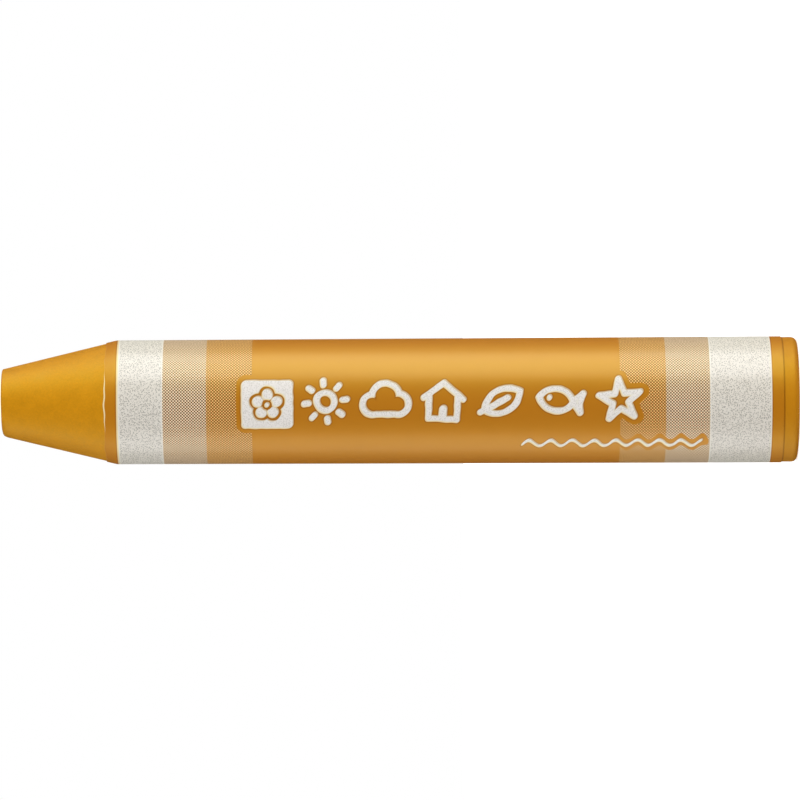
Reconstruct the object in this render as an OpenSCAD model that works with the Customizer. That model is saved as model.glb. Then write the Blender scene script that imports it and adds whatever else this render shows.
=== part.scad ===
// Wax crayon: a moulded wax stick in a thin printed film sleeve.
// It stands on its flat butt, tip up. The origin is the middle of the butt face, and +Z runs along the
// axis to the nose. The sleeve's seam is on the +Y side. All sizes are in millimetres.

/* [Stick] */
// Length of the crayon, from the flat of the butt to the flat of the nose
crayon_len = 70; // [45:1:120]
// Diameter of the wax at the butt, the wide end of its moulding draft
butt_d = 11; // [9:0.1:16]
// Diameter of the wax at the shoulder, where the tip begins
shoulder_d = 10.78; // [8:0.02:15]
// Radius of the blend between the body and the tip
shoulder_round = 1; // [0.3:0.1:3]
// Radius of the edge round the butt
butt_round = 0.5; // [0.1:0.05:1.5]

/* [Tip] */
// Length of the conical tip, from the shoulder to the nose
tip_len = 10.1; // [5:0.1:20]
// Diameter of the nose, where the cone would meet the flat with a sharp edge
nose_d = 5.9; // [3:0.1:7.5]
// Radius of the edge round the nose
nose_round = 0.3; // [0.1:0.05:1]

/* [Sleeve] */
// Thickness of the film
film_t = 0.06; // [0.03:0.01:0.3]
// Clearance between the shrunk film and the wax
film_gap = 0.01; // [0:0.01:0.1]
// Bare wax left between the butt face and the film
butt_bare = 1.4; // [0.5:0.1:10]
// How far the film runs past the shoulder, along the cone
tip_wrap = 0.9; // [0.4:0.1:3]
// Width of the seam, where one edge of the film laps over the other
seam_lap = 3; // [1:0.5:8]
// Bearing of the middle of the seam, from +X towards +Y
seam_bearing = 90; // [0:5:355]

/* [Hidden] */
$fn = 96;
wax_colour = "#D69C28";
film_colour = "#CC8A1C";

// Largest angle between two points of a rounded edge
round_step = 5;

// Corners of the stick's half section, as [radius, height], before they are rounded
butt_centre = [0, 0];
butt_corner = [butt_d / 2, 0];
shoulder_corner = [shoulder_d / 2, crayon_len - tip_len];
nose_corner = [nose_d / 2, crayon_len];
nose_centre = [0, crayon_len];

// The wax points under the film's two ends
body_along = unit(shoulder_corner - butt_corner);
cone_along = unit(nose_corner - shoulder_corner);
film_foot = butt_corner + body_along * butt_bare / body_along.y;
film_head = shoulder_corner + cone_along * tip_wrap;

// Angle that the seam takes up round the stick, measured at the shoulder
seam_angle = seam_lap / (shoulder_d / 2 + film_gap + film_t) * 180 / PI;

// A vector of length 1 in the direction of v
function unit(v) = v / norm(v);

// The bearing that points out of the wax, for a stretch of outline that runs along v
function out_bearing(v) = atan2(-v.x, v.y);

// The vector of length 1 at a bearing
function along(bearing) = [cos(bearing), sin(bearing)];

// Centre of the arc of radius r that rounds corner p between points a and b
function round_centre(a, p, b, r) =
    let (to_a = unit(a - p), to_b = unit(b - p), half_angle = acos(to_a * to_b) / 2)
    p + unit(to_a + to_b) * r / sin(half_angle);

// Points of the arc of radius r that rounds corner p between points a and b, at a height over the wax
function round_points(a, p, b, r, height = 0) =
    let (
        centre = round_centre(a, p, b, r),
        start = out_bearing(p - a),
        turn = out_bearing(b - p) - start,
        steps = ceil(turn / round_step)
    )
    [for (i = [0:steps]) centre + (r + height) * along(start + turn * i / steps)];

// A list of points in the other order
function reversed(points) = [for (i = [len(points) - 1:-1:0]) points[i]];

// The line that the film follows from its foot to its head, at a height over the wax
function film_line(height) = concat(
    [film_foot + [height / body_along.y, 0]],
    round_points(butt_corner, shoulder_corner, nose_corner, shoulder_round, height),
    [film_head + height * along(out_bearing(cone_along))]
);

// Half section of the film, between two heights over the wax
module film_section(inner, outer) {
    polygon(concat(film_line(inner), reversed(film_line(outer))));
}

// The moulded stick: a drafted body, a conical tip and three rounded edges
module wax_stick() {
    color(wax_colour)
        rotate_extrude()
            polygon(concat(
                [butt_centre],
                round_points(butt_centre, butt_corner, shoulder_corner, butt_round),
                round_points(butt_corner, shoulder_corner, nose_corner, shoulder_round),
                round_points(shoulder_corner, nose_corner, nose_centre, nose_round),
                [nose_centre]
            ));
}

// The film: one turn round the stick, and a second layer over the seam, welded half way into the first
module sleeve() {
    first_layer = film_gap + film_t;
    weld = film_t / 2;
    color(film_colour) {
        rotate_extrude()
            film_section(film_gap, first_layer);
        rotate([0, 0, seam_bearing - seam_angle / 2])
            rotate_extrude(angle = seam_angle)
                film_section(first_layer - weld, first_layer + film_t);
    }
}

wax_stick();
sleeve();
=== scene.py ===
"""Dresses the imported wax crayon: a moulded wax stick in a printed film sleeve, standing on its butt."""
import math

import bmesh
import bpy
from mathutils import Matrix, Vector


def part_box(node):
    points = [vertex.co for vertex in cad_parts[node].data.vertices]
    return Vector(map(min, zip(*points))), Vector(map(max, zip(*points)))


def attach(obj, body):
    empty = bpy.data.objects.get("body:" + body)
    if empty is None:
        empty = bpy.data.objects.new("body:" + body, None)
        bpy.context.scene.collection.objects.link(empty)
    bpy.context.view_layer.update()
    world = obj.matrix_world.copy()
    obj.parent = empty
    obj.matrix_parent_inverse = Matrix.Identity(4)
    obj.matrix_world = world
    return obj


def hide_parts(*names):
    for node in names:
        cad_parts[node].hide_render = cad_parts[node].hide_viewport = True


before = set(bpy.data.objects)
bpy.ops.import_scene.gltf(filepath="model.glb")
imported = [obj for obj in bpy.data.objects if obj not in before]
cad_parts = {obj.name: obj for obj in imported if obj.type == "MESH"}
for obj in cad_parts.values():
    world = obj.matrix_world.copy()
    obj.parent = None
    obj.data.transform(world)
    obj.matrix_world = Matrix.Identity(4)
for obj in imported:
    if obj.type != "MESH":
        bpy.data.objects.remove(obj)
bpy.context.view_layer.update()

# ---------------------------------------------------------------------------------------------------
# Sizes, in millimetres. The front is -Y, and the crayon stands on z = 0.
# ---------------------------------------------------------------------------------------------------
MM = 0.001

stick_box = [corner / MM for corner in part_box("wax_stick")]
film_box = [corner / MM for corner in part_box("sleeve")]

# The wax stick: corners of its half section as (radius, height), and the round on each edge
CRAYON_LEN = stick_box[1].z
TIP_LEN = 10.1
BUTT_CENTRE = Vector((0, 0))
BUTT_CORNER = Vector((stick_box[1].x, 0))
SHOULDER_CORNER = Vector((5.39, CRAYON_LEN - TIP_LEN))
NOSE_CORNER = Vector((2.95, CRAYON_LEN))
NOSE_CENTRE = Vector((0, CRAYON_LEN))
BUTT_ROUND = 0.5
SHOULDER_ROUND = 1.0
NOSE_ROUND = 0.14

# The film, and the seam where one edge of it laps over the other at the back
FILM_T = 0.06
FILM_GAP = 0.01
FILM_FOOT = film_box[0].z
TIP_WRAP = 0.9
SEAM_LAP = 3.0
SEAM_RAMP = 0.7
SEAM_BEARING = 90.0

# Heights where the print changes: white bands, pale screens and deep screens near both ends, and
# where the cream above the head band stops
FOOT_WHITE = (2.43, 7.85)
FOOT_PALE = (7.7, 11.7)
FOOT_DEEP = (11.7, 15.7)
HEAD_DEEP = (47.9, 51.9)
HEAD_PALE = (51.9, 55.8)
HEAD_WHITE = (55.72, 59.63)
CREAM_EDGE = 59.76


# ---------------------------------------------------------------------------------------------------
# Geometry helpers
# ---------------------------------------------------------------------------------------------------
def smooth(value, low, high):
    """0 below low, 1 above high, and an S-shaped ramp between them."""
    share = min(max((value - low) / (high - low), 0.0), 1.0)
    return share * share * (3 - 2 * share)


def outwards(along):
    """The way out of the wax, for a stretch of outline that runs up the stick."""
    return Vector((along.y, -along.x))


def round_reach(a, corner, b, radius):
    """Distance from a corner between a and b to either end of the arc that rounds it."""
    return radius / math.tan((a - corner).angle(b - corner) / 2)


def finished_piece(name, bm, material, node):
    """Makes the mesh, drawn in millimetres, an object that rides on the crayon in a CAD node's place."""
    bmesh.ops.scale(bm, vec=(MM, MM, MM), verts=bm.verts)
    mesh = bpy.data.meshes.new(name)
    bm.to_mesh(mesh)
    bm.free()
    mesh.materials.append(material)
    piece = bpy.data.objects.new(name, mesh)
    bpy.context.scene.collection.objects.link(piece)
    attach(piece, "root")
    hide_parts(node)
    return piece


# ---------------------------------------------------------------------------------------------------
# The wax stick
# ---------------------------------------------------------------------------------------------------
STICK_STEPS = 240
NOSE_CUTS = (0.25, 0.5, 0.9)
NOSE_INSET = 0.3
RUB_REACH = 0.55
RUB_DEPTH = 0.1
RUB_SIDE = (-0.2, 0.9)


def ring_at(bm, corner):
    """The edges that run round the stick through an outline corner."""
    def on_ring(vert):
        return abs(vert.co.z - corner.y) < 1e-3 and abs(vert.co.xy.length - corner.x) < 1e-3

    return [edge for edge in bm.edges if all(on_ring(vert) for vert in edge.verts)]


def rub_nose(bm):
    """Wears the nose's edge rounder on the -X side, where it has been drawn with a little."""
    rim = NOSE_CORNER
    for vert in bm.verts:
        radius = vert.co.xy.length
        away = (Vector((radius, vert.co.z)) - rim).length
        if away < RUB_REACH and radius > 0:
            side = smooth(-vert.co.x / radius, *RUB_SIDE)
            depth = RUB_DEPTH * side * (1 - away / RUB_REACH) ** 2
            vert.co.z -= depth
            vert.co.xy *= 1 - depth / radius


def make_stick(material):
    """Spins the outline into the stick and rounds its three edges."""
    outline = (BUTT_CENTRE, BUTT_CORNER, SHOULDER_CORNER, NOSE_CORNER, NOSE_CENTRE)
    rounds = (BUTT_ROUND, SHOULDER_ROUND, NOSE_ROUND)
    bm = bmesh.new()
    verts = [bm.verts.new((point.x, 0, point.y)) for point in outline]
    edges = [bm.edges.new(pair) for pair in zip(verts, verts[1:])]
    bmesh.ops.spin(
        bm, geom=verts + edges, cent=(0, 0, 0), axis=(0, 0, 1), angle=math.tau,
        steps=STICK_STEPS, use_merge=True,
    )
    bmesh.ops.remove_doubles(bm, verts=bm.verts, dist=1e-4)
    for before, corner, after, radius in zip(outline, outline[1:], outline[2:], rounds):
        bmesh.ops.bevel(
            bm, geom=ring_at(bm, corner), offset=round_reach(before, corner, after, radius),
            offset_type="OFFSET", segments=6, profile=0.5, affect="EDGES", material=-1,
        )
    for depth in NOSE_CUTS:
        bmesh.ops.bisect_plane(
            bm, geom=bm.verts[:] + bm.edges[:] + bm.faces[:],
            plane_co=(0, 0, CRAYON_LEN - depth), plane_no=(0, 0, 1),
        )
    nose = [face for face in bm.faces if face.calc_center_median().z > CRAYON_LEN - 1e-4]
    bmesh.ops.inset_region(bm, faces=nose, thickness=NOSE_INSET, use_boundary=True)
    rub_nose(bm)
    bmesh.ops.recalc_face_normals(bm, faces=bm.faces)
    for face in bm.faces:
        face.smooth = True
    stick = finished_piece("moulded_wax", bm, material, "wax_stick")
    weighting = stick.modifiers.new("Flat ends", "WEIGHTED_NORMAL")
    weighting.weight = 80
    return stick


# ---------------------------------------------------------------------------------------------------
# The film sleeve: a flat sheet, rolled round the stick until its edges lap
# ---------------------------------------------------------------------------------------------------
BODY_ALONG = (SHOULDER_CORNER - BUTT_CORNER).normalized()
CONE_ALONG = (NOSE_CORNER - SHOULDER_CORNER).normalized()
BODY_OUT = outwards(BODY_ALONG)
CONE_OUT = outwards(CONE_ALONG)
BEND_REACH = round_reach(BUTT_CORNER, SHOULDER_CORNER, NOSE_CORNER, SHOULDER_ROUND)
BEND_TURN = BODY_OUT.angle(CONE_OUT)
BEND_CENTRE = SHOULDER_CORNER - BODY_ALONG * BEND_REACH - BODY_OUT * SHOULDER_ROUND
FOOT_POINT = BUTT_CORNER + BODY_ALONG * FILM_FOOT / BODY_ALONG.y

BODY_RUN = (SHOULDER_CORNER - FOOT_POINT).length - BEND_REACH
BEND_RUN = SHOULDER_ROUND * BEND_TURN
CONE_RUN = TIP_WRAP - BEND_REACH
FILM_RUN = BODY_RUN + BEND_RUN + CONE_RUN
SEAM_ANGLE = math.degrees(SEAM_LAP / (SHOULDER_CORNER.x + FILM_GAP + FILM_T))
RAMP_ANGLE = math.degrees(SEAM_RAMP / SHOULDER_CORNER.x)
FILM_TURN = 360 + SEAM_ANGLE

FILM_COLUMNS = 300
FILM_ROWS = 120
ROW_CROWDING = 2.2
SEAM_SLIP = 0.004

EDGE_WAVES = ((0.035, 5, 40), (0.03, 11, 200), (0.02, 23, 75))
EDGE_FADE = 1.4
TONGUE = (-93, 11, 0.18)


def edge_shift(bearing):
    """How far the head edge of the film strays towards the nose at a bearing, in millimetres."""
    stray = sum(size * math.sin(math.radians(count * bearing + phase)) for size, count, phase in EDGE_WAVES)
    middle, width, reach = TONGUE
    from_tongue = (bearing - middle + 180) % 360 - 180
    return stray + reach * math.exp(-((from_tongue / width) ** 2))


def film_point(turned, along, height):
    """A point on the rolled film: degrees turned from its first edge, millimetres up from its foot, and
    height over the wax."""
    bearing = SEAM_BEARING - SEAM_ANGLE / 2 + turned
    along += edge_shift(bearing) * smooth(along, FILM_RUN - EDGE_FADE, FILM_RUN)
    height += (FILM_T + SEAM_SLIP) * smooth(turned, 360 - RAMP_ANGLE, 360)
    if along < BODY_RUN:
        point = FOOT_POINT + BODY_ALONG * along + BODY_OUT * height
    elif along < BODY_RUN + BEND_RUN:
        turn = Matrix.Rotation((along - BODY_RUN) / SHOULDER_ROUND, 2)
        point = BEND_CENTRE + turn @ BODY_OUT * (SHOULDER_ROUND + height)
    else:
        past = along - BODY_RUN - BEND_RUN + BEND_REACH
        point = SHOULDER_CORNER + CONE_ALONG * past + CONE_OUT * height
    angle = math.radians(bearing)
    return Vector((point.x * math.cos(angle), point.x * math.sin(angle), point.y))


def make_film(material):
    """Rolls an inner and an outer sheet, and joins them round their edges."""
    bm = bmesh.new()
    around = bm.verts.layers.float.new("around")
    along = bm.verts.layers.float.new("along")
    sides = []
    for height in (FILM_GAP, FILM_GAP + FILM_T):
        sheet = bmesh.ops.create_grid(bm, x_segments=FILM_COLUMNS, y_segments=FILM_ROWS, size=0.5)["verts"]
        for vert in sheet:
            vert[around] = (vert.co.x + 0.5) * FILM_TURN
            vert[along] = FILM_RUN * (1 - (0.5 - vert.co.y) ** ROW_CROWDING)
            vert.co = film_point(vert[around], vert[along], height)
        sides.append(set(sheet))
    rims = [edge for edge in bm.edges if edge.is_boundary]
    walls = bmesh.ops.bridge_loops(bm, edges=rims)["faces"]
    for edge in rims:
        edge.smooth = False
    bmesh.ops.recalc_face_normals(bm, faces=bm.faces)
    for face in bm.faces:
        face.smooth = True
    lay_out_map(bm, sides[0], set(walls), around, along)
    return finished_piece("printed_sleeve", bm, material, "sleeve")


OUTER_MAP = (0.04, 1.0)
INNER_MAP = (0.0, 0.02)
RIM_MAP = (0.024, 0.036)


def lay_out_map(bm, inner_side, walls, around, along):
    """Gives the outer face nearly all of the square, and the hidden faces a strip below it."""
    places = bm.loops.layers.uv.new("OFBake")
    for face in bm.faces:
        if face in walls:
            low, high = RIM_MAP
        elif face.verts[0] in inner_side:
            low, high = INNER_MAP
        else:
            low, high = OUTER_MAP
        for loop in face.loops:
            share = loop.vert[along] / FILM_RUN
            loop[places].uv = (loop.vert[around] / FILM_TURN, low + (high - low) * share)


# ---------------------------------------------------------------------------------------------------
# Node helpers
# ---------------------------------------------------------------------------------------------------
def add_node(tree, kind, inputs=None, **settings):
    """Adds a node, with its settings, and feeds its inputs with sockets or plain values."""
    made = tree.nodes.new(kind)
    for name, value in settings.items():
        setattr(made, name, value)
    for name, value in (inputs or {}).items():
        if isinstance(value, bpy.types.NodeSocket):
            tree.links.new(value, made.inputs[name])
        else:
            made.inputs[name].default_value = value
    return made


def calc(tree, operation, *values, clamp=False):
    """A Math node's result."""
    made = add_node(tree, "ShaderNodeMath", dict(enumerate(values)), operation=operation, use_clamp=clamp)
    return made.outputs[0]


def vector_calc(tree, operation, first, second):
    """A Vector Math node's result: a number for a length, distance or dot product, else a vector."""
    made = add_node(tree, "ShaderNodeVectorMath", {0: first, 1: second}, operation=operation)
    is_number = operation in ("DOT_PRODUCT", "DISTANCE", "LENGTH")
    return made.outputs["Value" if is_number else "Vector"]


def blend(tree, share, low, high):
    """A mix of two colours."""
    made = add_node(
        tree, "ShaderNodeMix", {"Factor": share}, data_type="RGBA", clamp_factor=True
    )
    for socket, value in ((made.inputs[6], low), (made.inputs[7], high)):
        if isinstance(value, bpy.types.NodeSocket):
            tree.links.new(value, socket)
        else:
            socket.default_value = (*value, 1)
    return made.outputs[2]


def ramp(tree, value, low, high):
    """A smooth step from 0 at low to 1 at high."""
    made = add_node(
        tree, "ShaderNodeMapRange", {"Value": value, "From Min": low, "From Max": high},
        interpolation_type="SMOOTHSTEP",
    )
    return made.outputs["Result"]


def split(tree, vector):
    """The X, Y and Z of a vector."""
    return add_node(tree, "ShaderNodeSeparateXYZ", {"Vector": vector}).outputs


def join(tree, x, y):
    """A vector in the plane."""
    return add_node(tree, "ShaderNodeCombineXYZ", {"X": x, "Y": y}).outputs[0]


def fold_all(tree, operation, values):
    """One value out of several, such as the smallest or the largest."""
    result = values[0]
    for value in values[1:]:
        result = calc(tree, operation, result, value)
    return result


def start_group(name, inputs, outputs):
    """An empty node group, with its input node's outputs and its output node's inputs."""
    tree = bpy.data.node_groups.new(name, "ShaderNodeTree")
    for label, kind, value in inputs:
        socket = tree.interface.new_socket(label, in_out="INPUT", socket_type=kind)
        if value is not None:
            socket.default_value = value
    for label, kind in outputs:
        tree.interface.new_socket(label, in_out="OUTPUT", socket_type=kind)
    given = add_node(tree, "NodeGroupInput")
    result = add_node(tree, "NodeGroupOutput")
    return tree, given.outputs, result.inputs


def place_group(tree, group, inputs=None):
    """Places a node group, feeds it, and returns its outputs."""
    made = tree.nodes.new("ShaderNodeGroup")
    made.node_tree = group
    for name, value in (inputs or {}).items():
        if isinstance(value, bpy.types.NodeSocket):
            tree.links.new(value, made.inputs[name])
        else:
            made.inputs[name].default_value = value
    return made.outputs


FLOAT = "NodeSocketFloat"
VECTOR = "NodeSocketVector"


# ---------------------------------------------------------------------------------------------------
# The print, in millimetres: x runs from the nose to the butt, y round the stick from the front to +X
# ---------------------------------------------------------------------------------------------------
PRINT_R = 5.52
STROKE = 0.54
INK_EDGE = 0.02

STAMP_AT = (23.4, -0.3)
STAMP_HALF = (2.26, 2.18)
STAMP_CORNER = 0.45
STAMP_LINE = 0.27

ROW_FROM = 28.5
ROW_STEP = 5.15
ROW_Y = -0.05

RULE_FROM = 45.8
RULE_TO = 61.3
RULE_Y = -4.15
RULE_WAVE = 1.9
RULE_SWING = 0.32
RULE_STROKE = 0.34

# How far the drawn lines wander, as a hand's do, and how quickly
WOBBLE = 0.14
WOBBLE_SCALE = 0.9

# The ochre kept clear round the motifs, how far the pearl ink lies off its windows, the two screens,
# the painted highlight along the head edge, drawn as a strip of bare film that narrows away from the
# front, and the rims where ink is squeezed up
HALO = 0.5
MISFIT = (0.08, 0.09, 0)
SCREEN_PITCH = 0.188
SCREEN_EDGE = 0.06
SCREEN_CRISP = (48, 12)
SCREEN_SLUR = 0.35
HEAD_EDGE_HIGHLIGHT = 0.13
HEAD_HIGHLIGHT_FADE = (34, 8)
RIM = 0.11
RIM_EDGE = 0.03


def make_stroke_group():
    """Distance to a round-ended stroke, drawn from one point to another."""
    tree, given, result = start_group(
        "Stroke",
        (("Place", VECTOR, None), ("From", VECTOR, None), ("Along", VECTOR, None), ("Width", FLOAT, STROKE)),
        (("Distance", FLOAT),),
    )
    past = vector_calc(tree, "SUBTRACT", given["Place"], given["From"])
    reach = vector_calc(tree, "DOT_PRODUCT", past, given["Along"])
    whole = vector_calc(tree, "DOT_PRODUCT", given["Along"], given["Along"])
    share = calc(tree, "DIVIDE", reach, whole, clamp=True)
    nearest = add_node(
        tree, "ShaderNodeVectorMath", {0: given["Along"], "Scale": share}, operation="SCALE"
    ).outputs[0]
    away = vector_calc(tree, "DISTANCE", past, nearest)
    tree.links.new(calc(tree, "MULTIPLY_ADD", given["Width"], -0.5, away), result["Distance"])
    return tree


def make_fold_group():
    """Turns a place into the first of a ring of equal sectors, with each sector a mirror of itself."""
    tree, given, result = start_group(
        "Fold round",
        (("Place", VECTOR, None), ("Sectors", FLOAT, 5), ("Turn", FLOAT, 0)),
        (("Place", VECTOR),),
    )
    place = split(tree, given["Place"])
    angle = calc(tree, "SUBTRACT", calc(tree, "ARCTAN2", place["Y"], place["X"]), given["Turn"])
    sector = calc(tree, "DIVIDE", math.tau, given["Sectors"])
    folded = calc(tree, "PINGPONG", angle, calc(tree, "MULTIPLY", sector, 0.5))
    length = vector_calc(tree, "LENGTH", given["Place"], (0, 0, 0))
    x = calc(tree, "MULTIPLY", length, calc(tree, "COSINE", folded))
    y = calc(tree, "MULTIPLY", length, calc(tree, "SINE", folded))
    tree.links.new(join(tree, x, y), result["Place"])
    return tree


class Pen:
    """Draws distances in a node tree: each shape's is below 0 inside its ink."""

    def __init__(self, tree, place, groups, width=STROKE):
        self.tree = tree
        self.place = place
        self.groups = groups
        self.width = width

    def moved(self, x, y, scale=1, turn=0):
        """A pen whose middle is at x, y."""
        mapped = add_node(
            self.tree, "ShaderNodeMapping",
            {"Vector": self.place, "Location": (x, y, 0), "Rotation": (0, 0, math.radians(turn)),
             "Scale": (scale, scale, 1)},
            vector_type="TEXTURE",
        )
        return Pen(self.tree, mapped.outputs[0], self.groups, self.width)

    def folded(self, sectors, turn=0):
        """A pen that draws the same thing in each of a ring of sectors."""
        outputs = place_group(
            self.tree, self.groups["fold"],
            {"Place": self.place, "Sectors": sectors, "Turn": math.radians(turn)},
        )
        return Pen(self.tree, outputs["Place"], self.groups, self.width)

    def mirrored(self, axis):
        """A pen that draws the same thing on both sides of the x or the y axis."""
        place = split(self.tree, self.place)
        x = place["X"] if axis == "x" else calc(self.tree, "ABSOLUTE", place["X"])
        y = calc(self.tree, "ABSOLUTE", place["Y"]) if axis == "x" else place["Y"]
        return Pen(self.tree, join(self.tree, x, y), self.groups, self.width)

    def disc(self, x, y, radius):
        away = vector_calc(self.tree, "DISTANCE", self.place, (x, y, 0))
        return calc(self.tree, "SUBTRACT", away, radius)

    def line(self, start, end, width=None):
        along = (end[0] - start[0], end[1] - start[1], 0)
        outputs = place_group(
            self.tree, self.groups["stroke"],
            {"Place": self.place, "From": (*start, 0), "Along": along, "Width": width or self.width},
        )
        return outputs["Distance"]

    def block(self, x, y, half, corner):
        """A filled rectangle with round corners."""
        off = vector_calc(self.tree, "SUBTRACT", self.place, (x, y, 0))
        side = add_node(self.tree, "ShaderNodeVectorMath", {0: off}, operation="ABSOLUTE").outputs[0]
        past = vector_calc(self.tree, "SUBTRACT", side, (half[0] - corner, half[1] - corner, 0))
        clipped = vector_calc(self.tree, "MAXIMUM", past, (0, 0, 0))
        outside = vector_calc(self.tree, "LENGTH", clipped, (0, 0, 0))
        parts = split(self.tree, past)
        inside = calc(self.tree, "MINIMUM", calc(self.tree, "MAXIMUM", parts["X"], parts["Y"]), 0)
        return calc(self.tree, "SUBTRACT", calc(self.tree, "ADD", outside, inside), corner)

    def lens(self, half_length, half_height):
        """A filled leaf shape between two arcs, lying along x."""
        drop = (half_length ** 2 - half_height ** 2) / (2 * half_height)
        radius = drop + half_height
        return self.mirrored("x").disc(0, -drop, radius)

    def outline(self, distance, width=None):
        """A stroke along the edge of a filled shape."""
        edge = calc(self.tree, "ABSOLUTE", distance)
        return calc(self.tree, "SUBTRACT", edge, (width or self.width) / 2)

    def join(self, *distances):
        return fold_all(self.tree, "MINIMUM", distances)

    def cut(self, distance, away):
        """A shape less another."""
        return calc(self.tree, "MAXIMUM", distance, calc(self.tree, "MULTIPLY", away, -1))


def draw_sun(pen):
    disc = pen.outline(pen.disc(0, 0, 0.78))
    rays = pen.folded(8).line((1.5, 0), (1.86, 0))
    return pen.join(disc, rays)


def draw_cloud(pen):
    puffs = pen.join(
        pen.disc(-1.0, -0.3, 0.9), pen.disc(0.1, 0.42, 1.2), pen.disc(1.15, -0.25, 0.95),
        pen.block(0.05, -0.55, (1.2, 0.62), 0.1), pen.disc(0.05, -0.15, 1.02),
    )
    return pen.outline(puffs)


def draw_house(pen):
    half = pen.mirrored("y")
    return pen.join(
        half.line((0, 1.6), (1.72, 0.22)), half.line((1.25, 0.3), (1.25, -1.6)),
        half.line((1.25, -1.6), (0, -1.6)), half.line((0, -1.3), (0, -0.72), 0.7),
    )


def draw_leaf(pen):
    blade = pen.outline(pen.lens(1.75, 0.98))
    return pen.join(blade, pen.line((-2.2, 0), (0.55, 0)))


def draw_fish(pen):
    body = pen.outline(pen.moved(-0.45, 0).lens(1.5, 0.98))
    tail = pen.mirrored("x")
    return pen.join(
        body, pen.disc(-1.05, 0.12, 0.24),
        tail.line((1.0, 0), (1.8, 0.85)), tail.line((1.8, 0.85), (1.62, 0)),
    )


def draw_star(pen):
    inner = 0.38 * 1.9
    notch = (inner * math.cos(math.pi / 5), inner * math.sin(math.pi / 5))
    return pen.folded(5, 90).line((1.9, 0), notch)


def draw_stamp(pen):
    """A solid stamp with a five-petalled flower left open in it."""
    stamp = pen.block(0, 0, STAMP_HALF, STAMP_CORNER)
    petals = pen.folded(5, 90)
    bloom = pen.join(petals.disc(0.86, 0, 0.62), pen.disc(0, 0, 0.5))
    flower = pen.join(
        pen.outline(bloom, STAMP_LINE), pen.outline(pen.disc(0, 0, 0.34), STAMP_LINE),
    )
    return pen.cut(stamp, flower)


def draw_rule(pen):
    """A wavy line."""
    place = split(pen.tree, pen.place)
    phase = calc(pen.tree, "MULTIPLY", place["X"], math.tau / RULE_WAVE)
    swing = calc(pen.tree, "MULTIPLY", calc(pen.tree, "SINE", phase), RULE_SWING)
    straightened = calc(pen.tree, "SUBTRACT", place["Y"], swing)
    flat = Pen(pen.tree, join(pen.tree, place["X"], straightened), pen.groups)
    return flat.line((0, 0), (RULE_TO - RULE_FROM, 0), RULE_STROKE)


DOODLES = (draw_sun, draw_cloud, draw_house, draw_leaf, draw_fish, draw_star)
DOODLE_TURNS = (6, 0, -3, 28, -8, 5)


def make_motif_group(groups):
    """Distance to the nearest of the printed motifs."""
    tree, given, result = start_group("Motifs", (("Place", VECTOR, None),), (("Distance", FLOAT),))
    wander = add_node(
        tree, "ShaderNodeTexNoise", {"Vector": given["Place"], "Scale": WOBBLE_SCALE, "Detail": 1.0},
        noise_dimensions="2D",
    ).outputs["Color"]
    shake = add_node(
        tree, "ShaderNodeVectorMath", {0: wander, 1: (WOBBLE, WOBBLE, 0), 2: given["Place"]},
        operation="MULTIPLY_ADD",
    ).outputs[0]
    page = Pen(tree, vector_calc(tree, "SUBTRACT", shake, (WOBBLE / 2, WOBBLE / 2, 0)), groups)
    nearest = draw_stamp(page.moved(*STAMP_AT))
    nearest = calc(tree, "MINIMUM", nearest, draw_rule(page.moved(RULE_FROM, RULE_Y)))
    for place, (doodle, turn) in enumerate(zip(DOODLES, DOODLE_TURNS)):
        drawn = doodle(page.moved(ROW_FROM + ROW_STEP * place, ROW_Y, turn=turn))
        nearest = calc(tree, "MINIMUM", nearest, drawn)
    tree.links.new(nearest, result["Distance"])
    return tree


def band_distance(tree, height, low, high):
    """How far a height lies outside a band, below 0 inside it."""
    from_middle = calc(tree, "ABSOLUTE", calc(tree, "SUBTRACT", height, (low + high) / 2))
    return calc(tree, "SUBTRACT", from_middle, (high - low) / 2)


def make_screen_group():
    """The dots of a printed screen, in a lattice turned by 45 degrees."""
    tree, given, result = start_group(
        "Dot screen", (("Place", VECTOR, None), ("Threshold", FLOAT, 0)), (("Ink", FLOAT),)
    )
    place = split(tree, given["Place"])
    turn = math.sqrt(2) * math.pi / SCREEN_PITCH
    waves = [calc(tree, "COSINE", calc(tree, "MULTIPLY", place[axis], turn)) for axis in "XY"]
    height = calc(tree, "SUBTRACT", calc(tree, "MULTIPLY", *waves), given["Threshold"])
    tree.links.new(ramp(tree, height, -SCREEN_EDGE, SCREEN_EDGE), result["Ink"])
    return tree


# ---------------------------------------------------------------------------------------------------
# Materials
# ---------------------------------------------------------------------------------------------------
OCHRE_INK = (0.485, 0.152, 0.006)
OCHRE_SQUEEZED = (0.375, 0.10, 0.004)
CREAM_FILM = (0.80, 0.64, 0.38)
PEARL_INK = (0.735, 0.695, 0.655)
PEARL_FLECK = (0.34, 0.315, 0.30)
PEARL_RIM = (0.77, 0.735, 0.69)
MOTIF_WHITE = (0.81, 0.77, 0.765)
PEARL_OVER_OCHRE = (0.59, 0.46, 0.30)
OCHRE_WAX = (0.59, 0.236, 0.0055)
# Painted shade: the wax colour in the thin band just below the film's foot
FOOT_SHADE_WAX = (0.36, 0.12, 0.005)
BUTT_WAX = (0.545, 0.205, 0.007)

# The wax: how its tones, roughness and height follow the mottle and the fine skin, and the painted
# shade that lies against the film's foot
WAX_MOTTLE_SIZE = 0.9
WAX_SKIN_SIZE = 0.16
WAX_TONES = (0.88, 1.1)
MOTTLE_TONE = 1.2
SKIN_TONE = 1.3
WAX_ROUGH = 0.52
MOTTLE_ROUGH = 0.25
MOTTLE_SWELL = 0.02
SKIN_PITS = 0.01
FOOT_SHADE_REACH = 0.13

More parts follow.
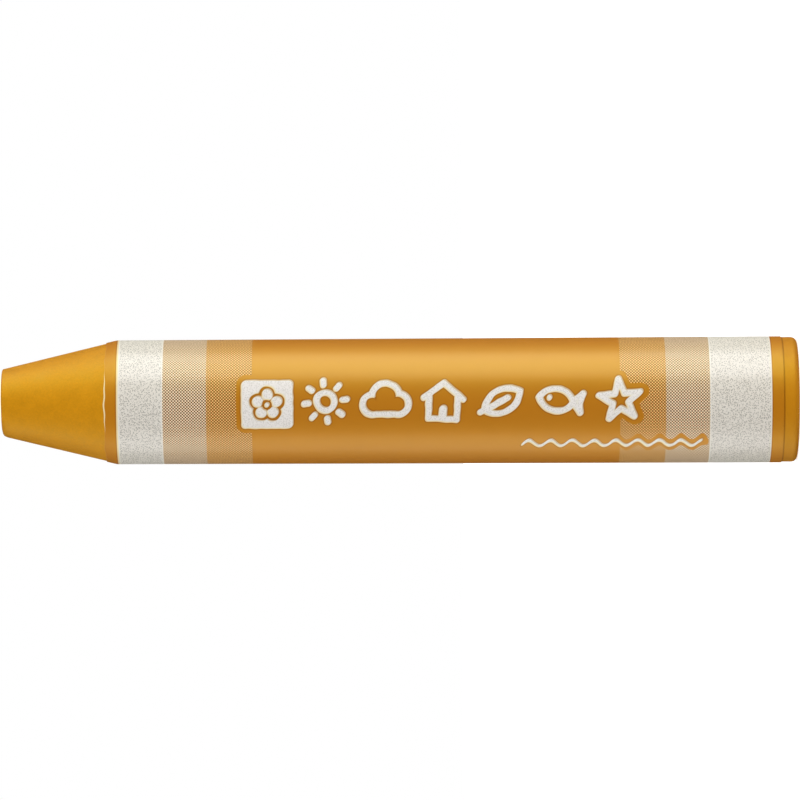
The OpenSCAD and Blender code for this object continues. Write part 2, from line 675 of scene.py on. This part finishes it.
# The film: roughness, gloss coat and height, and the mica flecks in the pearl ink
FILM_ROUGH = 0.52
WHITE_ROUGH = 0.38
CLEAR_COAT = 0.04
OCHRE_COAT = 0.13
WHITE_COAT = 0.24
DRAPE = 0.02
DRAPE_SIZE = 3.5
PEARL_STEP = 0.004
OCHRE_TONES = (0.97, 1.03)
OCHRE_MOTTLE_SIZE = 1.3
OCHRE_MOTTLE_TONE = 0.8
FLECK_SIZE = 0.125
FLECK_REACH = (0.55, 0.2)
FLECK_METAL = 0.3
MOTIF_PLAIN = 0.6

# Each screen's two bands, the height at which its dots are cut, the share that they cover, and the
# colours of dots and gaps
SCREENS = (
    ((FOOT_PALE, HEAD_PALE), 0.04, 0.455, (1.0, 0.78, 0.56), (0.12, 0.012, 0.001)),
    ((FOOT_DEEP, HEAD_DEEP), 0.16, 0.36, (1.0, 0.60, 0.22), (0.23, 0.038, 0.001)),
)


def make_grain_group():
    """Irregular grain of a size in millimetres: heights from -0.5 to 0.5."""
    tree, given, result = start_group(
        "Grain",
        (("Place", VECTOR, None), ("Size", FLOAT, 0.1), ("Detail", FLOAT, 2)),
        (("Height", FLOAT),),
    )
    scale = calc(tree, "DIVIDE", 1, given["Size"])
    grain = add_node(
        tree, "ShaderNodeTexNoise", {"Vector": given["Place"], "Scale": scale, "Detail": given["Detail"]}
    ).outputs["Fac"]
    tree.links.new(calc(tree, "SUBTRACT", grain, 0.5), result["Height"])
    return tree


def start_material(name):
    """An empty material with a Principled BSDF, and its place in millimetres."""
    material = bpy.data.materials.new(name)
    material.use_nodes = True
    tree = material.node_tree
    shader = tree.nodes["Principled BSDF"]
    place = add_node(tree, "ShaderNodeTexCoord").outputs["Object"]
    scaled = add_node(
        tree, "ShaderNodeVectorMath", {0: place, "Scale": 1 / MM}, operation="SCALE"
    ).outputs[0]
    return material, tree, shader, scaled


def finish_material(tree, shader, colour, roughness, height):
    """Feeds the shader, with the height in millimetres."""
    bump = add_node(tree, "ShaderNodeBump", {"Height": height, "Distance": MM})
    tree.links.new(colour, shader.inputs["Base Color"])
    tree.links.new(roughness, shader.inputs["Roughness"])
    tree.links.new(bump.outputs["Normal"], shader.inputs["Normal"])


def make_wax(grain):
    """Satin wax: mottled, with a faintly pitted skin."""
    material, tree, shader, place = start_material("satin_wax")
    mottle = place_group(tree, grain, {"Place": place, "Size": WAX_MOTTLE_SIZE, "Detail": 4.0})["Height"]
    skin = place_group(tree, grain, {"Place": place, "Size": WAX_SKIN_SIZE, "Detail": 2.0})["Height"]
    fine = calc(tree, "MULTIPLY_ADD", skin, SKIN_TONE, 0.5)
    shade = calc(tree, "MULTIPLY_ADD", mottle, MOTTLE_TONE, fine, clamp=True)
    deeper = ramp(tree, split(tree, place)["Z"], CRAYON_LEN / 2, 0)
    darks, lights = ([tone * value for value in OCHRE_WAX] for tone in WAX_TONES)
    colour = blend(tree, deeper, blend(tree, shade, darks, lights), BUTT_WAX)
    # Painted shade: the wax is darkened in a thin band just below the film's foot
    gap = band_distance(tree, split(tree, place)["Z"], FILM_FOOT - FOOT_SHADE_REACH, FILM_FOOT)
    colour = blend(tree, ramp(tree, gap, INK_EDGE, -INK_EDGE), colour, FOOT_SHADE_WAX)
    roughness = calc(tree, "MULTIPLY_ADD", mottle, MOTTLE_ROUGH, WAX_ROUGH)
    swell = calc(tree, "MULTIPLY", mottle, MOTTLE_SWELL)
    finish_material(tree, shader, colour, roughness, calc(tree, "MULTIPLY_ADD", skin, SKIN_PITS, swell))
    shader.inputs["Specular IOR Level"].default_value = 0.28
    shader.inputs["Specular Tint"].default_value = (1, 1, 0.05, 1)
    return material


def lay_screen(tree, screen, page, height, clear, crisp, ground, bands, threshold, cover, dot, gap):
    """Lays one of the screens over its two bands: its dots, and the ochre between them. The ink slurs
    where it isn't crisp."""
    dots = place_group(tree, screen, {"Place": page, "Threshold": threshold})["Ink"]
    sharp = calc(tree, "MULTIPLY_ADD", crisp, SCREEN_SLUR, 1 - SCREEN_SLUR)
    dots = calc(tree, "MULTIPLY_ADD", calc(tree, "SUBTRACT", dots, cover), sharp, cover)
    distances = [band_distance(tree, height, *band) for band in bands]
    zone = ramp(tree, fold_all(tree, "MINIMUM", distances), INK_EDGE, -INK_EDGE)
    zone = calc(tree, "MULTIPLY", zone, clear)
    return blend(tree, zone, ground, blend(tree, dots, gap, dot)), calc(tree, "MULTIPLY", zone, dots)


def make_print(grain):
    """Ochre and pearl inks on clear film. The pearl motifs lie a little off the windows left for them."""
    groups = {"stroke": make_stroke_group(), "fold": make_fold_group()}
    motifs = make_motif_group(groups)
    screen = make_screen_group()

    material, tree, shader, place = start_material("printed_film")
    turned = add_node(tree, "ShaderNodeAttribute", attribute_name="around").outputs["Fac"]
    along = add_node(tree, "ShaderNodeAttribute", attribute_name="along").outputs["Fac"]
    height = split(tree, place)["Z"]
    front = calc(tree, "SUBTRACT", turned, 180 + SEAM_ANGLE / 2)
    from_nose = calc(tree, "SUBTRACT", CRAYON_LEN, height)
    page = join(tree, from_nose, calc(tree, "MULTIPLY", front, math.radians(PRINT_R)))
    slipped = vector_calc(tree, "SUBTRACT", page, MISFIT)

    # Distances to the edges of the pearl ink and of the windows in the ochre
    window_motif = place_group(tree, motifs, {"Place": page})["Distance"]
    pearl_motif = place_group(tree, motifs, {"Place": slipped})["Distance"]
    bands = [band_distance(tree, height, *band) for band in (FOOT_WHITE, HEAD_WHITE)]
    cream_band = band_distance(tree, height, HEAD_WHITE[0], CREAM_EDGE)
    to_pearl = fold_all(tree, "MINIMUM", (pearl_motif, *bands))
    to_window = fold_all(tree, "MINIMUM", (window_motif, cream_band, bands[0]))
    pearl = ramp(tree, to_pearl, INK_EDGE, -INK_EDGE)
    window = ramp(tree, to_window, INK_EDGE, -INK_EDGE)

    # The ochre, deeper where it is squeezed up round the windows, and its screens
    tone = place_group(tree, grain, {"Place": place, "Size": OCHRE_MOTTLE_SIZE, "Detail": 3.0})["Height"]
    tone = calc(tree, "MULTIPLY_ADD", tone, OCHRE_MOTTLE_TONE, 0.5, clamp=True)
    ochre = blend(tree, tone, *([share * value for value in OCHRE_INK] for share in OCHRE_TONES))
    clear = ramp(tree, pearl_motif, HALO - INK_EDGE, HALO + INK_EDGE)
    from_front = calc(tree, "ABSOLUTE", front)
    crisp = ramp(tree, from_front, *SCREEN_CRISP)
    white_ink = pearl
    for settings in SCREENS:
        ochre, dots = lay_screen(tree, screen, slipped, height, clear, crisp, ochre, *settings)
        white_ink = calc(tree, "MAXIMUM", white_ink, dots)
    to_ends = band_distance(tree, height, FOOT_WHITE[0], CREAM_EDGE)
    to_rim = fold_all(tree, "MINIMUM", (pearl_motif, window_motif, calc(tree, "ABSOLUTE", to_ends)))
    squeezed = ramp(tree, to_rim, RIM + RIM_EDGE, RIM - RIM_EDGE)
    ochre = blend(tree, squeezed, ochre, OCHRE_SQUEEZED)

    # Painted highlight along the head edge, drawn as a strip of bare cream film: widest at the front, gone
    # away from it
    edge_highlight = calc(tree, "MULTIPLY_ADD", ramp(tree, from_front, *HEAD_HIGHLIGHT_FADE), -HEAD_EDGE_HIGHLIGHT, FILM_RUN)
    edge_highlight = ramp(tree, calc(tree, "SUBTRACT", along, edge_highlight), -INK_EDGE, INK_EDGE)
    below = blend(tree, calc(tree, "MAXIMUM", window, edge_highlight), ochre, CREAM_FILM)

    # The pearl ink: whitest in the motifs and along its edges, flecked with mica elsewhere
    rim = ramp(tree, to_pearl, -RIM - RIM_EDGE, -RIM + RIM_EDGE)
    in_motif = ramp(tree, pearl_motif, INK_EDGE, -INK_EDGE)
    from_fleck = add_node(
        tree, "ShaderNodeTexVoronoi", {"Vector": place, "Scale": 1 / FLECK_SIZE}
    ).outputs["Distance"]
    flecks = ramp(tree, from_fleck, *FLECK_REACH)
    plain = calc(tree, "MAXIMUM", rim, calc(tree, "MULTIPLY", in_motif, MOTIF_PLAIN))
    flecks = calc(tree, "MULTIPLY", flecks, calc(tree, "SUBTRACT", pearl, plain, clamp=True))
    white = blend(tree, in_motif, PEARL_INK, MOTIF_WHITE)
    white = blend(tree, flecks, blend(tree, rim, white, PEARL_RIM), PEARL_FLECK)
    over = blend(tree, window, PEARL_OVER_OCHRE, white)
    colour = blend(tree, pearl, below, over)

    drape = place_group(tree, grain, {"Place": place, "Size": DRAPE_SIZE, "Detail": 1.0})["Height"]
    relief = calc(tree, "MULTIPLY_ADD", drape, DRAPE, calc(tree, "MULTIPLY", pearl, PEARL_STEP))
    roughness = calc(tree, "MULTIPLY_ADD", white_ink, WHITE_ROUGH, FILM_ROUGH)
    finish_material(tree, shader, colour, roughness, relief)
    tree.links.new(calc(tree, "MULTIPLY", flecks, FLECK_METAL), shader.inputs["Metallic"])
    printed = calc(tree, "SUBTRACT", 1, ramp(tree, to_ends, -INK_EDGE, INK_EDGE))
    coat = calc(tree, "MULTIPLY_ADD", printed, OCHRE_COAT, CLEAR_COAT)
    coat = calc(tree, "MULTIPLY_ADD", white_ink, WHITE_COAT, coat)
    tree.links.new(coat, shader.inputs["Coat Weight"])
    shader.inputs["Specular IOR Level"].default_value = 0.45
    shader.inputs["Specular Tint"].default_value = (0.95, 1, 0.03, 1)
    shader.inputs["Coat Roughness"].default_value = 0.3
    shader.inputs["Coat IOR"].default_value = 1.5
    return material


# ---------------------------------------------------------------------------------------------------
# Stage
# ---------------------------------------------------------------------------------------------------
CAMERA_AT = Vector((0.11, -566, 34.95)) * MM
CAMERA_LENS = 288.8
CAMERA_ROLL = 0.26

# Each panel's bearing from the front towards +X, elevation, width and height in metres, and radiance,
# and where the flags between the panels' halves of the crayon begin and end in Y
PANELS = {
    "Key panel": (70, 4, 0.36, 0.5, 8.1),
    "Fill panel": (-83, 0, 0.28, 0.5, 4.2),
    "Back panel": (152, 4, 0.36, 0.5, 5.5),
}
PANEL_DISTANCE = 0.35
CRAYON_MIDDLE = 0.035
FLAG_EDGE = (0.003, 0.0)

# The light all round: its level, its slope over directions, and the side that gets less of it
AMBIENT = 0.87
AMBIENT_SLOPE = (0.54, -0.2, 0.3)
SHADED_SIDE = (-math.sqrt(0.5), math.sqrt(0.5), 0)
SHADE = 0.48
SHADE_EDGE = (0.3, 0.9)

# The floor: its half width in metres, how far below the butt it lies and how long a ray must be to
# meet it, both in millimetres, its tone, and what it adds for the camera
FLOOR_HALF = 3.0
FLOOR_DROP = 0.02
FLOOR_SPARE = 0.5
FLOOR_TONE = 0.8
FLOOR_GLOW = 0.66


def make_camera():
    """Looks along +Y with the crayon lying across the picture, its nose to the left."""
    data = bpy.data.cameras.new("Camera")
    data.lens = CAMERA_LENS
    data.sensor_width = 36
    data.clip_start = 0.01
    camera = bpy.data.objects.new("Camera", data)
    bpy.context.scene.collection.objects.link(camera)
    roll = Matrix.Rotation(math.radians(CAMERA_ROLL), 3, "Y")
    right = roll @ Vector((0, 0, -1))
    up = roll @ Vector((1, 0, 0))
    facing = Matrix((right, up, (0, -1, 0))).transposed().to_4x4()
    camera.matrix_world = Matrix.Translation(CAMERA_AT) @ facing
    bpy.context.scene.camera = camera


def flag_panel(data, edge):
    """Keeps a panel's light to the places on its own half of the crayon, with a soft edge in Y. The lit
    place is as far from the panel's own as the ray is long."""
    data.use_nodes = True
    tree = data.node_tree
    spot = add_node(tree, "ShaderNodeNewGeometry").outputs
    reach = add_node(tree, "ShaderNodeLightPath").outputs["Ray Length"]
    way = add_node(
        tree, "ShaderNodeVectorMath", {0: spot["Incoming"], "Scale": reach}, operation="SCALE"
    ).outputs[0]
    lit = vector_calc(tree, "ADD", spot["Position"], way)
    tree.links.new(ramp(tree, split(tree, lit)["Y"], *edge), tree.nodes["Emission"].inputs["Strength"])


def make_panel(name, bearing, elevation, width, height, glow):
    """A soft panel that faces the crayon and shows only in the gloss of the half that it faces."""
    data = bpy.data.lights.new(name, "AREA")
    data.shape = "RECTANGLE"
    data.size = width
    data.size_y = height
    data.energy = glow * math.pi * width * height
    flag_panel(data, FLAG_EDGE if abs(bearing) < 90 else FLAG_EDGE[::-1])
    panel = bpy.data.objects.new(name, data)
    bpy.context.scene.collection.objects.link(panel)
    across = math.cos(math.radians(elevation))
    away = Vector((
        math.sin(math.radians(bearing)) * across,
        -math.cos(math.radians(bearing)) * across,
        math.sin(math.radians(elevation)),
    ))
    panel.location = away * PANEL_DISTANCE + Vector((0, 0, CRAYON_MIDDLE))
    panel.rotation_euler = away.to_track_quat("Z", "Y").to_euler()
    panel.visible_camera = False
    panel.visible_diffuse = False


def make_world():
    """White behind the crayon, and soft light all round that comes more from above, from the front and
    from the key side, less from the back on the other side, and stays out of the gloss."""
    world = bpy.data.worlds.new("Studio")
    world.use_nodes = True
    tree = world.node_tree
    way = add_node(tree, "ShaderNodeTexCoord").outputs["Generated"]
    slope = vector_calc(tree, "DOT_PRODUCT", way, AMBIENT_SLOPE)
    soft = calc(tree, "MULTIPLY_ADD", slope, AMBIENT, AMBIENT)
    shaded = ramp(tree, vector_calc(tree, "DOT_PRODUCT", way, SHADED_SIDE), *SHADE_EDGE)
    soft = calc(tree, "MULTIPLY", soft, calc(tree, "MULTIPLY_ADD", shaded, -SHADE, 1))
    path = add_node(tree, "ShaderNodeLightPath").outputs
    seen = calc(tree, "MAXIMUM", path["Is Camera Ray"], soft)
    tree.links.new(seen, tree.nodes["Background"].inputs["Color"])
    world.cycles_visibility.glossy = False
    bpy.context.scene.world = world


def make_floor():
    """A plain pale floor, a hair below the butt. It stays white for the camera, save where the crayon shades
    it. It can be looked through from below, and spares the light that reaches the butt."""
    bm = bmesh.new()
    drop = Matrix.Translation((0, 0, -FLOOR_DROP * MM))
    bmesh.ops.create_grid(bm, x_segments=1, y_segments=1, size=FLOOR_HALF, matrix=drop)
    mesh = bpy.data.meshes.new("floor")
    bm.to_mesh(mesh)
    bm.free()
    material = bpy.data.materials.new("pale_floor")
    material.use_nodes = True
    tree = material.node_tree
    shader = tree.nodes["Principled BSDF"]
    shader.inputs["Base Color"].default_value = (FLOOR_TONE, FLOOR_TONE, FLOOR_TONE, 1)
    shader.inputs["Roughness"].default_value = 0.9
    shader.inputs["Specular IOR Level"].default_value = 0.0
    shader.inputs["Emission Color"].default_value = (1, 1, 1, 1)
    path = add_node(tree, "ShaderNodeLightPath").outputs
    seen = calc(tree, "MULTIPLY", path["Is Camera Ray"], FLOOR_GLOW)
    tree.links.new(seen, shader.inputs["Emission Strength"])
    below = add_node(tree, "ShaderNodeNewGeometry").outputs["Backfacing"]
    clear = add_node(tree, "ShaderNodeBsdfTransparent").outputs[0]
    spared = calc(tree, "LESS_THAN", path["Ray Length"], FLOOR_SPARE * MM)
    open_share = calc(tree, "MAXIMUM", below, spared)
    surface = add_node(tree, "ShaderNodeMixShader", {0: open_share, 1: shader.outputs[0], 2: clear})
    tree.links.new(surface.outputs[0], tree.nodes["Material Output"].inputs["Surface"])
    mesh.materials.append(material)
    floor = bpy.data.objects.new("floor", mesh)
    bpy.context.scene.collection.objects.link(floor)
    floor.visible_glossy = False
    floor.visible_shadow = False


def main():
    scene = bpy.context.scene
    scene.view_settings.view_transform = "Standard"
    make_camera()
    make_world()
    for name, settings in PANELS.items():
        make_panel(name, *settings)
    make_floor()
    grain = make_grain_group()
    make_stick(make_wax(grain))
    make_film(make_print(grain))


main()

bpy.context.view_layer.update()
